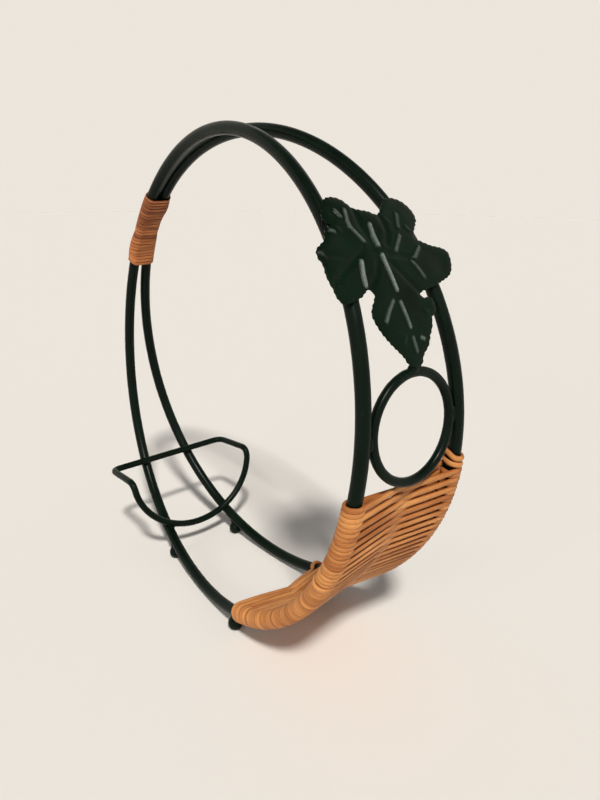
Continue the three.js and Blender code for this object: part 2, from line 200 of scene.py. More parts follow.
class FinishSettings(bpy.types.PropertyGroup):
    enamel: tint("Enamel", "Enamel of the rods and wires", 0.0014, 0.0062, 0.003)
    leaf_enamel: tint("Leaf Enamel", "Enamel of the leaf", 0.0018, 0.009, 0.0036)
    rubbed: tint("Rubbed Enamel", "Where the enamel is rubbed thin", 0.05, 0.07, 0.057)
    # Worn Ribs: the light colour of the rib crests is partly rubbed enamel and partly a painted highlight.
    worn: tint("Worn Ribs", "Crests of the leaf's ribs, worn bright", 0.23, 0.28, 0.24)
    cradle_light: tint("Cradle Light", "Light streaks of the cradle cane", 0.7, 0.31, 0.095)
    cradle_dark: tint("Cradle Dark", "Dark streaks of the cradle cane", 0.37, 0.12, 0.028)
    grip_light: tint("Grip Light", "Light streaks of the grip cane", 0.64, 0.23, 0.072)
    grip_dark: tint("Grip Dark", "Dark streaks of the grip cane", 0.165, 0.041, 0.014)


class StageSettings(bpy.types.PropertyGroup):
    floor: tint("Floor", "Colour of the floor and backdrop", 0.83, 0.8, 0.76)
    key_strength: amount("Key Strength", "Strength of the main lamp", 2.85)
    key_angle: turn("Key Angle", "How wide the main lamp looks from the holder", 7)
    side_strength: amount("Side Strength", "Strength of the low lamp at the side", 0.6)
    side_angle: turn("Side Angle", "How wide the side lamp looks from the holder", 25)
    fill: share("Fill", "Strength of the even light from all around", 0.2)
    camera_lens: bpy.props.FloatProperty(
        name="Lens", description="Focal length of the camera", default=28.11, min=1, unit="CAMERA")


class HolderSettings(bpy.types.PropertyGroup):
    hoops: bpy.props.PointerProperty(type=HoopSettings, name="Hoops", description="Sizes of the two hoops")
    wires: bpy.props.PointerProperty(type=WireSettings, name="Wires", description="Ring, support and feet")
    leaf: bpy.props.PointerProperty(type=LeafSettings, name="Leaf", description="Sizes of the vine leaf")
    cane: bpy.props.PointerProperty(type=CaneSettings, name="Cane", description="Cradle and grip windings")
    finish: bpy.props.PointerProperty(type=FinishSettings, name="Finishes", description="Colours")
    stage: bpy.props.PointerProperty(type=StageSettings, name="Stage", description="Floor, light and camera")


def settings():
    return bpy.context.scene.bottle_holder


# Shape of the two hoops, which everything else follows

class Hoops:
    """The two flat, slightly oval hoops, which say where any place on or beside them is."""

    def __init__(self):
        sizes = settings().hoops
        wires = settings().wires
        self.sizes = sizes
        self.rod = sizes.rod / 2
        meeting = self.rod + sizes.meeting_gap / 2
        self.middle_half = (sizes.widest / 2 + meeting) / 2
        self.spread_half = (sizes.widest / 2 - meeting) / 2
        self.widest_angle = sizes.meeting - math.pi
        low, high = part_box("foot_rear_right")
        reach = self.radius(wires.rear_foot)
        self.shift = (low.x + high.x) / 2 - reach * math.sin(wires.rear_foot)
        self.centre_height = high.z + wires.seat_gap + self.rod + reach * math.cos(wires.rear_foot)

    def radius(self, angle):
        return self.sizes.radius + self.sizes.out_of_round * math.cos(2 * (angle - self.sizes.long_axis))

    def half_spacing(self, angle):
        along = self.radius(angle) / self.sizes.radius * math.cos(angle - self.widest_angle)
        return self.middle_half + self.spread_half * along

    def point(self, angle, offset, sideways):
        reach = self.radius(angle) + offset
        x = self.shift + reach * math.sin(angle)
        return Vector((x, sideways, self.centre_height - reach * math.cos(angle)))

    def on_rod(self, angle, side, offset=0.0):
        return self.point(angle, offset, side * self.half_spacing(angle))

    def along(self, angle):
        """The direction along the hoops there, towards larger angles."""
        return Vector((math.cos(angle), 0, math.sin(angle)))

    def away(self, angle):
        """The direction outwards from the middle of the hoops there."""
        return Vector((math.sin(angle), 0, -math.cos(angle)))


# Nodes: small helpers for trees of both kinds

# Where most values of a noise texture lie
NOISE_RANGE = (0.3, 0.7)


def feed(tree, socket, value):
    """Links the socket to another one, or gives it a plain value."""
    if isinstance(value, bpy.types.NodeSocket):
        tree.links.new(value, socket)
    else:
        socket.default_value = value


def add_node(tree, kind, inputs=None, **options):
    """Adds a node. Its inputs are keyed by the socket's name or number."""
    node = tree.nodes.new(kind)
    for name, option in options.items():
        setattr(node, name, option)
    for key, value in (inputs or {}).items():
        feed(tree, node.inputs[key], value)
    return node


def add_step(tree, kind, inputs=None, **options):
    """Adds a node and returns its first result."""
    return add_node(tree, kind, inputs, **options).outputs[0]


def calculate(tree, operation, *values):
    """Adds one step of arithmetic and returns its result."""
    return add_step(tree, "ShaderNodeMath", dict(enumerate(values)), operation=operation)


def combine(tree, x=0.0, y=0.0, z=0.0):
    """Makes a vector of its three parts."""
    return add_step(tree, "ShaderNodeCombineXYZ", {0: x, 1: y, 2: z})


def scaled(tree, vector, factor):
    """The vector times a number."""
    return add_step(tree, "ShaderNodeVectorMath", {0: vector, "Scale": factor}, operation="SCALE")


def noise_step(tree, scale, detail, roughness=0.5, vector=None):
    """Noise at the vector, or at each point's own place."""
    inputs = {"Scale": scale, "Detail": detail, "Roughness": roughness}
    if vector is not None:
        inputs["Vector"] = vector
    return add_step(tree, "ShaderNodeTexNoise", inputs)


def ramp(tree, value, given_range, wanted_range):
    """Changes evenly from the ends of one range to the ends of another, and stays at them past it."""
    start, end = given_range
    low, high = wanted_range
    return add_step(tree, "ShaderNodeMapRange", {
        "Value": value, "From Min": start, "From Max": end, "To Min": low, "To Max": high})


def mix_colours(tree, amount, first, second):
    """The first colour at an amount of 0, the second at 1."""
    mixed = add_node(tree, "ShaderNodeMix", {0: amount, 6: first, 7: second}, data_type="RGBA")
    return mixed.outputs[2]


def start_tree(name, kind, inputs, outputs):
    """Makes a node group with named sockets. Returns it with the sockets that give and take its values.

    An input is named with its default, and one without a default with its kind of socket.
    """
    kinds = {float: "NodeSocketFloat", int: "NodeSocketInt", tuple: "NodeSocketColor"}
    tree = bpy.data.node_groups.new(name, kind)
    for key, default in inputs.items():
        socket_kind = kinds.get(type(default), default)
        socket = tree.interface.new_socket(name=key, in_out="INPUT", socket_type=socket_kind)
        if socket_kind != default:
            socket.default_value = default
    for key, socket_kind in outputs.items():
        tree.interface.new_socket(name=key, in_out="OUTPUT", socket_type=socket_kind)
    given = tree.nodes.new("NodeGroupInput").outputs
    result = tree.nodes.new("NodeGroupOutput").inputs
    return tree, given, result


def start_shape_tree(name, inputs):
    sockets = {"Geometry": "NodeSocketGeometry", **inputs, "Material": "NodeSocketMaterial"}
    return start_tree(name, "GeometryNodeTree", sockets, {"Geometry": "NodeSocketGeometry"})


def close_shape_tree(tree, geometry, given, result):
    smooth = add_step(tree, "GeometryNodeSetShadeSmooth", {"Geometry": geometry})
    real = add_step(tree, "GeometryNodeRealizeInstances", {"Geometry": smooth})
    painted = add_step(tree, "GeometryNodeSetMaterial", {"Geometry": real, "Material": given["Material"]})
    tree.links.new(painted, result["Geometry"])
    return tree


def circle(tree, sides, radius):
    return add_step(tree, "GeometryNodeCurvePrimitiveCircle", {"Resolution": sides, "Radius": radius})


def move(tree, geometry, spot):
    return add_step(tree, "GeometryNodeSetPosition", {"Geometry": geometry, "Position": spot})


def stored(tree, key, kind):
    """A value that each point carries."""
    return add_step(tree, "GeometryNodeInputNamedAttribute", {"Name": key}, data_type=kind)


def store(tree, geometry, key, value, kind):
    """The geometry with the value on each of its points."""
    inputs = {"Geometry": geometry, "Name": key, "Value": value}
    return add_step(tree, "GeometryNodeStoreNamedAttribute", inputs, data_type=kind, domain="POINT")


# Pieces: how a mesh becomes a part of the model

def settle(piece):
    """Turns the piece with its modifiers into a plain mesh."""
    graph = bpy.context.evaluated_depsgraph_get()
    finished = piece.evaluated_get(graph)
    plain = bpy.data.meshes.new_from_object(finished, preserve_all_data_layers=True, depsgraph=graph)
    plain.name = piece.name
    piece.modifiers.clear()
    piece.data = plain
    return piece


def place(name, data):
    """Puts a mesh, a lamp or a camera in the scene."""
    piece = bpy.data.objects.new(name, data)
    bpy.context.scene.collection.objects.link(piece)
    return piece


def grow(name, source, tree, values):
    """Runs a Geometry Nodes tree on the source mesh and returns the result as a plain piece."""
    piece = place(name, source)
    modifier = piece.modifiers.new("Shape", "NODES")
    modifier.node_group = tree
    for item in tree.interface.items_tree:
        if item.item_type == "SOCKET" and item.in_out == "INPUT" and item.name in values:
            modifier[item.identifier] = values[item.name]
    return settle(piece)


def dress(piece, nodes, slot):
    """Sets the piece on the frame in place of the CAD nodes."""
    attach(piece, "root")
    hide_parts(*nodes)


def loose_mesh(name, points, edges=(), faces=()):
    mesh = bpy.data.meshes.new(name)
    mesh.from_pydata([tuple(point) for point in points], edges, faces)
    return mesh


def path_mesh(name, points, closed):
    """A line of points as a mesh of edges."""
    edges = [(index, index + 1) for index in range(len(points) - 1)]
    if closed:
        edges.append((len(points) - 1, 0))
    return loose_mesh(name, points, edges)


def mark_numbers(mesh, key, values):
    """Stores a number on each point of the mesh."""
    mesh.attributes.new(key, "FLOAT", "POINT").data.foreach_set("value", values)


def mark_vectors(mesh, key, vectors):
    """Stores a vector on each point of the mesh."""
    flat = [value for vector in vectors for value in vector]
    mesh.attributes.new(key, "FLOAT_VECTOR", "POINT").data.foreach_set("vector", flat)


# Geometry Nodes trees

def hoop_tree():
    """A closed rod whose centreline follows the rule of the oval and the spread."""
    tree, given, result = start_shape_tree("Hoop by Rule", {
        "Radius": 0.12,
        "Out of Round": 0.0,
        "Long Axis": 0.0,
        "Middle Half": 0.02,
        "Signed Spread": 0.0,
        "Widest Angle": 0.0,
        "Side": 1.0,
        "Shift": 0.0,
        "Centre Height": 0.12,
        "Rod Radius": 0.003,
        "Path Steps": 240,
        "Round Sides": 24,
    })
    line = circle(tree, given["Path Steps"], 1.0)
    index = add_step(tree, "GeometryNodeInputIndex")
    angle = calculate(tree, "MULTIPLY", calculate(tree, "DIVIDE", index, given["Path Steps"]), math.tau)
    from_axis = calculate(tree, "MULTIPLY", calculate(tree, "SUBTRACT", angle, given["Long Axis"]), 2.0)
    oval = calculate(tree, "MULTIPLY", calculate(tree, "COSINE", from_axis), given["Out of Round"])
    reach = calculate(tree, "ADD", given["Radius"], oval)
    from_widest = calculate(tree, "COSINE", calculate(tree, "SUBTRACT", angle, given["Widest Angle"]))
    along = calculate(tree, "MULTIPLY", calculate(tree, "DIVIDE", reach, given["Radius"]), from_widest)
    spread = calculate(tree, "MULTIPLY", along, given["Signed Spread"])
    half_spacing = calculate(tree, "ADD", given["Middle Half"], spread)
    out = calculate(tree, "MULTIPLY", reach, calculate(tree, "SINE", angle))
    drop = calculate(tree, "MULTIPLY", reach, calculate(tree, "COSINE", angle))
    spot = combine(
        tree,
        calculate(tree, "ADD", out, given["Shift"]),
        calculate(tree, "MULTIPLY", half_spacing, given["Side"]),
        calculate(tree, "SUBTRACT", given["Centre Height"], drop))
    profile = circle(tree, given["Round Sides"], given["Rod Radius"])
    rod = add_step(tree, "GeometryNodeCurveToMesh", {
        "Curve": move(tree, line, spot), "Profile Curve": profile})
    return close_shape_tree(tree, rod, given, result)


def wire_tree():
    """A round wire along a closed line of points."""
    tree, given, result = start_shape_tree("Wire along a Line", {
        "Wire Radius": 0.002,
        "Round Sides": 20,
    })
    line = add_step(tree, "GeometryNodeMeshToCurve", {"Mesh": given["Geometry"]})
    profile = circle(tree, given["Round Sides"], given["Wire Radius"])
    wire = add_step(tree, "GeometryNodeCurveToMesh", {"Curve": line, "Profile Curve": profile})
    return close_shape_tree(tree, wire, given, result)


def cane_tree():
    """A flat oval cane along a line of points, as broad as cane_girth says and lying as cane_broad does."""
    tree, given, result = start_shape_tree("Cane along a Line", {
        "Half Width": 0.0012,
        "Half Thickness": 0.0006,
        "Round Sides": 12,
        "Smooth Steps": 2,
    })
    line = add_step(tree, "GeometryNodeMeshToCurve", {"Mesh": given["Geometry"]})
    soft = add_step(tree, "GeometryNodeCurveSplineType", {"Curve": line}, spline_type="CATMULL_ROM")
    steps = {"Geometry": soft, "Resolution": given["Smooth Steps"]}
    fine = add_step(tree, "GeometryNodeSetSplineResolution", steps)
    travelled = add_node(tree, "GeometryNodeSplineParameter").outputs["Length"]
    strand = store(tree, fine, "cane_along", travelled, "FLOAT")
    broad = stored(tree, "cane_broad", "FLOAT_VECTOR")
    laid = add_step(tree, "GeometryNodeSetCurveNormal", {"Curve": strand, "Normal": broad}, mode="FREE")
    spoke = add_step(tree, "GeometryNodeInputPosition")
    rim = store(tree, circle(tree, given["Round Sides"], 1.0), "cane_spoke", spoke, "FLOAT_VECTOR")
    sides = combine(tree, given["Half Width"], given["Half Thickness"], 1.0)
    squeezed = add_step(tree, "ShaderNodeVectorMath", {0: spoke, 1: sides}, operation="MULTIPLY")
    cane_mesh = add_step(tree, "GeometryNodeCurveToMesh", {
        "Curve": laid,
        "Profile Curve": move(tree, rim, squeezed),
        "Scale": stored(tree, "cane_girth", "FLOAT"),
        "Fill Caps": True,
    })
    return close_shape_tree(tree, cane_mesh, given, result)


def foot_tree():
    """A ball with a small flat under it, set on each point."""
    tree, given, result = start_shape_tree("Ball Feet on Points", {
        "Ball Radius": 0.004,
        "Flat Height": -0.0036,
    })
    ball = add_step(tree, "GeometryNodeMeshUVSphere", {
        "Segments": 32, "Rings": 24, "Radius": given["Ball Radius"]})
    spot = add_node(tree, "ShaderNodeSeparateXYZ", {0: add_step(tree, "GeometryNodeInputPosition")})
    height = calculate(tree, "MAXIMUM", spot.outputs[2], given["Flat Height"])
    lifted = calculate(tree, "SUBTRACT", height, given["Flat Height"])
    flat = move(tree, ball, combine(tree, spot.outputs[0], spot.outputs[1], lifted))
    feet = add_step(tree, "GeometryNodeInstanceOnPoints", {"Points": given["Geometry"], "Instance": flat})
    return close_shape_tree(tree, feet, given, result)


def bead_tree():
    """A lumpy weld bead on each point, turned by bead_turn and as large as bead_size says."""
    tree, given, result = start_shape_tree("Weld Beads on Points", {
        "Unevenness": 0.0006,
        "Lump Scale": 420.0,
    })
    facing = stored(tree, "bead_turn", "FLOAT_VECTOR")
    beads = add_step(tree, "GeometryNodeInstanceOnPoints", {
        "Points": given["Geometry"],
        "Instance": add_step(tree, "GeometryNodeMeshIcoSphere", {"Radius": 1.0, "Subdivisions": 4}),
        "Rotation": add_step(tree, "FunctionNodeEulerToRotation", {0: facing}),
        "Scale": stored(tree, "bead_size", "FLOAT_VECTOR"),
    })
    real = add_step(tree, "GeometryNodeRealizeInstances", {"Geometry": beads})
    lumps = noise_step(tree, given["Lump Scale"], 1.0)
    swell = calculate(tree, "MULTIPLY", calculate(tree, "SUBTRACT", lumps, 0.5), given["Unevenness"])
    push = scaled(tree, add_step(tree, "GeometryNodeInputNormal"), swell)
    uneven = add_step(tree, "GeometryNodeSetPosition", {"Geometry": real, "Offset": push})
    return close_shape_tree(tree, uneven, given, result)


# Finishes

def enamel_group():
    """Sprayed enamel: thick and thin patches, fine orange peel and small rubbed spots."""
    found = bpy.data.node_groups.get("Enamel Film")
    if found:
        return found
    tree, given, result = start_tree("Enamel Film", "ShaderNodeTree", {
        "Enamel": (0.01, 0.02, 0.015, 1),
        "Rubbed": (0.1, 0.12, 0.1, 1),
        "Rub Amount": 0.5,
        "Satin": 0.45,
        "Patch Scale": 70.0,
        "Peel Scale": 900.0,
    }, {
        "Color": "NodeSocketColor",
        "Roughness": "NodeSocketFloat",
        "Height": "NodeSocketFloat",
        "Wear": "NodeSocketFloat",
    })
    spot = add_node(tree, "ShaderNodeTexCoord").outputs["Object"]
    patches = noise_step(tree, given["Patch Scale"], 3.0, vector=spot)
    peel = noise_step(tree, given["Peel Scale"], 2.0, roughness=0.6, vector=spot)
    shade = scaled(tree, given["Enamel"], ramp(tree, patches, NOISE_RANGE, (0.72, 1.3)))
    speck = ramp(tree, peel, (0.62, 0.78), (0.0, 1.0))
    thin = ramp(tree, patches, (0.5, 0.68), (0.0, 1.0))
    rub = calculate(tree, "MULTIPLY", calculate(tree, "MULTIPLY", speck, thin), given["Rub Amount"])
    uneven = ramp(tree, patches, NOISE_RANGE, (-0.07, 0.07))
    for key, value in (
            ("Color", mix_colours(tree, rub, shade, given["Rubbed"])),
            ("Roughness", calculate(tree, "ADD", given["Satin"], uneven)),
            ("Height", peel),
            ("Wear", ramp(tree, peel, NOISE_RANGE, (0.6, 1.0)))):
        tree.links.new(value, result[key])
    return tree


def cane_group():
    """Rattan: long fibres along the strand, slow blotches, a tone of its own for each stretch, and painted
    shade towards both edges of the flat side.
    """
    found = bpy.data.node_groups.get("Cane Skin")
    if found:
        return found
    tree, given, result = start_tree("Cane Skin", "ShaderNodeTree", {
        "Light": (0.6, 0.3, 0.1, 1),
        "Dark": (0.4, 0.15, 0.05, 1),
        "Along": 0.0,
        "Spoke": "NodeSocketVector",
        "Tone": 0.5,
        "Fibres": 3.2,
        "Fibre Scale": 160.0,
        "Blotch Scale": 45.0,
    }, {"Color": "NodeSocketColor", "Roughness": "NodeSocketFloat", "Height": "NodeSocketFloat"})
    across = scaled(tree, given["Spoke"], given["Fibres"])
    run = combine(tree, z=calculate(tree, "MULTIPLY", given["Along"], given["Fibre Scale"]))
    skin_place = add_step(tree, "ShaderNodeVectorMath", {0: across, 1: run}, operation="ADD")
    fibre = noise_step(tree, 1.0, 4.0, roughness=0.65, vector=skin_place)
    far = combine(tree, z=calculate(tree, "MULTIPLY", given["Along"], given["Blotch Scale"]))
    blotch = noise_step(tree, 1.0, 2.0, vector=far)
    streaked = calculate(tree, "MULTIPLY_ADD", calculate(tree, "SUBTRACT", fibre, 0.5), 1.5, given["Tone"])
    blotched = calculate(tree, "MULTIPLY_ADD", calculate(tree, "SUBTRACT", blotch, 0.5), 0.9, streaked)
    # Painted shade: the colour darkens towards both edges of the cane's flat side, where it meets the turns
    # beside it.
    beside = add_step(tree, "ShaderNodeSeparateXYZ", {0: given["Spoke"]})
    painted_edge_shade = ramp(tree, calculate(tree, "ABSOLUTE", beside), (0.7, 1.0), (0.0, 0.7))
    tone = add_step(tree, "ShaderNodeClamp", {0: calculate(tree, "SUBTRACT", blotched, painted_edge_shade)})
    for key, value in (
            ("Color", mix_colours(tree, tone, given["Dark"], given["Light"])),
            ("Roughness", ramp(tree, fibre, NOISE_RANGE, (0.58, 0.44))),
            ("Height", fibre)):
        tree.links.new(value, result[key])
    return tree


def start_material(name):
    """Makes a material with nodes. Returns it with its tree."""
    material = bpy.data.materials.new(name)
    material.use_nodes = True
    return material, material.node_tree


def start_finish(name, group, bump, depth, specular):
    """Starts a material with the group's roughness and bump. Returns it with its tree, shader and group."""
    material, tree = start_material(name)
    shader = tree.nodes["Principled BSDF"]
    skin = add_node(tree, "ShaderNodeGroup", node_tree=group)
    relief = add_step(tree, "ShaderNodeBump", {
        "Strength": bump, "Distance": depth, "Height": skin.outputs["Height"]})
    feed(tree, shader.inputs["Roughness"], skin.outputs["Roughness"])
    feed(tree, shader.inputs["Normal"], relief)
    shader.inputs["Specular IOR Level"].default_value = specular
    return material, tree, shader, skin


def enamel(name, colour, satin, bump, specular, worn=None):
    """A satin enamel in the given colour, on the leaf lighter along the crests of the ribs: partly rubbed
    enamel, partly a painted highlight.
    """
    material, tree, shader, film = start_finish(name, enamel_group(), bump, depth=0.1 * MM, specular=specular)
    film.inputs["Enamel"].default_value = colour
    film.inputs["Rubbed"].default_value = settings().finish.rubbed
    film.inputs["Satin"].default_value = satin
    shown = film.outputs["Color"]
    if worn is not None:
        # Rubbed enamel with a painted highlight: the rib crests are mixed towards the light crest colour.
        crest = add_node(tree, "ShaderNodeAttribute", attribute_name="leaf_wear_and_highlight").outputs["Fac"]
        shown = mix_colours(tree, calculate(tree, "MULTIPLY", crest, film.outputs["Wear"]), shown, worn)
    feed(tree, shader.inputs["Base Color"], shown)
    return material


def cane(name, light, dark):
    """Cane whose fibres follow the strand."""
    material, tree, shader, skin = start_finish(name, cane_group(), bump=0.5, depth=0.12 * MM, specular=0.25)
    skin.inputs["Light"].default_value = light
    skin.inputs["Dark"].default_value = dark
    for socket, key, output in (
            ("Along", "cane_along", "Fac"), ("Spoke", "cane_spoke", "Vector"), ("Tone", "cane_tone", "Fac")):
        marked = add_node(tree, "ShaderNodeAttribute", attribute_name=key)
        feed(tree, skin.inputs[socket], marked.outputs[output])
    feed(tree, shader.inputs["Base Color"], skin.outputs["Color"])
    return material


def finish_of(name):
    """The finished material of that name, made when a piece first asks for it."""
    found = bpy.data.materials.get(name)
    if found:
        return found
    finish = settings().finish
    makers = {
        "rod_enamel": lambda: enamel(name, finish.enamel, satin=0.32, bump=0.25, specular=0.1),
        "leaf_enamel": lambda: enamel(
            name, finish.leaf_enamel, satin=0.36, bump=0.3, specular=0.07, worn=finish.worn),
        "cradle_rattan": lambda: cane(name, finish.cradle_light, finish.cradle_dark),
        "grip_rattan": lambda: cane(name, finish.grip_light, finish.grip_dark),
    }
    return makers[name]()


# Lines that the wires and canes follow

def bend(before, corner, after, steps=8):
    """A rounded corner from one point past the corner to another."""
    points = []
    for step in range(steps + 1):
        part = step / steps
        points.append(before.lerp(corner, part).lerp(corner.lerp(after, part), part))
    return points


def support_line(hoops):
    """The closed line of the rear support: bar, arm, shoulder, U, shoulder and arm."""
    sizes = settings().wires
    depth = sizes.shoulder_height - (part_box("rear_support")[0].z + sizes.wire / 2)
    rest = hoops.rod + sizes.seat_gap + sizes.wire / 2
    bar = hoops.point(sizes.bar_angle, -rest, 0)
    bar_half = sizes.shoulder_half - sizes.arm_spread
    first = math.asin(sizes.bend / depth)
    corner = {side: Vector((bar.x, side * bar_half, bar.z)) for side in (-1, 1)}
    shoulder = {
        side: Vector((sizes.shoulder_x, side * sizes.shoulder_half, sizes.shoulder_height))
        for side in (-1, 1)
    }

    def u_point(angle):
        drop = math.sin(angle)
        y = sizes.shoulder_half * math.cos(angle)
        return Vector((sizes.shoulder_x + sizes.lean * drop, y, sizes.shoulder_height - depth * drop))

    def towards(start, end):
        return start + (end - start).normalized() * sizes.bend

    points = bend(towards(corner[1], corner[-1]), corner[1], towards(corner[1], shoulder[1]))
    points += bend(towards(shoulder[1], corner[1]), shoulder[1], u_point(first))
    u_steps = 72
    points += [u_point(first + (math.pi - 2 * first) * step / u_steps) for step in range(1, u_steps)]
    points += bend(u_point(math.pi - first), shoulder[-1], towards(shoulder[-1], corner[-1]))
    points += bend(towards(corner[-1], shoulder[-1]), corner[-1], towards(corner[-1], corner[1]))
    return points, u_point


def ring_radius(hoops):
    sizes = settings().wires
    return hoops.half_spacing(sizes.ring_angle) - hoops.rod - sizes.seat_gap - sizes.wire / 2


def ring_line(hoops):
    sizes = settings().wires
    centre = hoops.point(sizes.ring_angle, 0, 0)
    upwards = hoops.along(sizes.ring_angle)
    radius = ring_radius(hoops)
    steps = 120
    angles = [math.tau * step / steps for step in range(steps)]
    return [
        centre + upwards * radius * math.sin(angle) + Vector((0, radius * math.cos(angle), 0))
        for angle in angles
    ]


class Strand:
    """A flat cane laid point by point, which then wanders a little from its line."""

    def __init__(self, seed, tone_spread):
        self.seed = seed
        self.tone_spread = tone_spread
        self.points = []
        self.lengthwise = []
        self.outwards = []
        self.girths = []
        self.tones = []

    def lay(self, point, lengthwise, outwards=None, girth=1.0, tone=0.0):
        """Adds a point. The cane's flat side turns outwards there, or on a free span lies lengthwise."""
        self.points.append(point)
        self.lengthwise.append(lengthwise)
        self.outwards.append(outwards)
        self.girths.append(girth)
        self.tones.append(tone)

    def broad_side(self, index, before):
        """The direction across the flat side at a point, on the same side as at the point before."""
        last = len(self.points) - 1
        course = (self.points[min(index + 1, last)] - self.points[max(index - 1, 0)]).normalized()
        if self.outwards[index] is None:
            broad = self.lengthwise[index] - course * course.dot(self.lengthwise[index])
        else:
            broad = self.outwards[index].cross(course)
        broad.normalize()
        return -broad if before is not None and broad.dot(before) < 0 else broad

    def change(self, travelled, length, row):
        """Smooth noise along the strand, from about -1 to 1. Each row has a noise of its own."""
        return noise(Vector((travelled / length, self.seed, row)))

    def mesh(self, name, unevenness):
        shift_length, girth_length, tone_length = 17 * MM, 6 * MM, 24 * MM
        girth_change = 0.05
        travelled = 0.0
        moved, broads, girths, tones = [], [], [], []
        for index, point in enumerate(self.points):
            if index:
                travelled += (point - self.points[index - 1]).length
            shift = self.change(travelled, shift_length, 0.5)
            moved.append(point + self.lengthwise[index] * shift * unevenness)
            broads.append(self.broad_side(index, broads[-1] if broads else None))
            girths.append(self.girths[index] * (1 + girth_change * self.change(travelled, girth_length, 9.5)))
            by_turn = self.tone_spread * self.change(travelled, tone_length, 21.5)
            tones.append(min(1.0, max(0.0, 0.5 + by_turn + self.tones[index])))
        mesh = path_mesh(name, moved, False)
        mark_vectors(mesh, "cane_broad", broads)
        mark_numbers(mesh, "cane_girth", girths)
        mark_numbers(mesh, "cane_tone", tones)
        return mesh


def hump(value, middle, half):
    """A smooth rise to 1 at the middle, and back to 0 past it."""
    return math.exp(-((value - middle) / half) ** 2)


def slope(value, middle, steepness):
    """A smooth change from 0 before the middle to 1 after it."""
    return 1 / (1 + math.exp(-(value - middle) * steepness))


# Cradle: the close turns at the top of the left rod, which stand higher on the rod's inner side.
# Each place is along the hoops and round the rod, in degrees from the cradle's top and the inner side.
CLOSE_TURNS = (
    (0.8, -115), (1.05, -85), (1.05, -55), (1.02, -25), (0.9, 0), (0.45, 22), (-0.02, 48), (-0.22, 85),
    (-0.33, 125), (-0.48, 170), (-0.6, 215), (-0.7, 260), (-0.85, 305), (-1, 335), (-1.17, 360), (-1.33, 384),
    (-1.45, 408), (-1.7, 445), (-1.96, 485), (-2.2, 530), (-2.45, 580), (-2.63, 636),
)

# Cradle: the last turn on the left rod slips down before it leaves. Its places are counted from its arrival.
SLIPPED_TURN = (
    (-0.5, 110), (-1.4, 140), (-2.5, 170), (-3.4, 200), (-4, 230), (-4.2, 255), (-4.2, 280), (-4.1, 305),
    (-3.9, 325), (-3.6, 342),
)


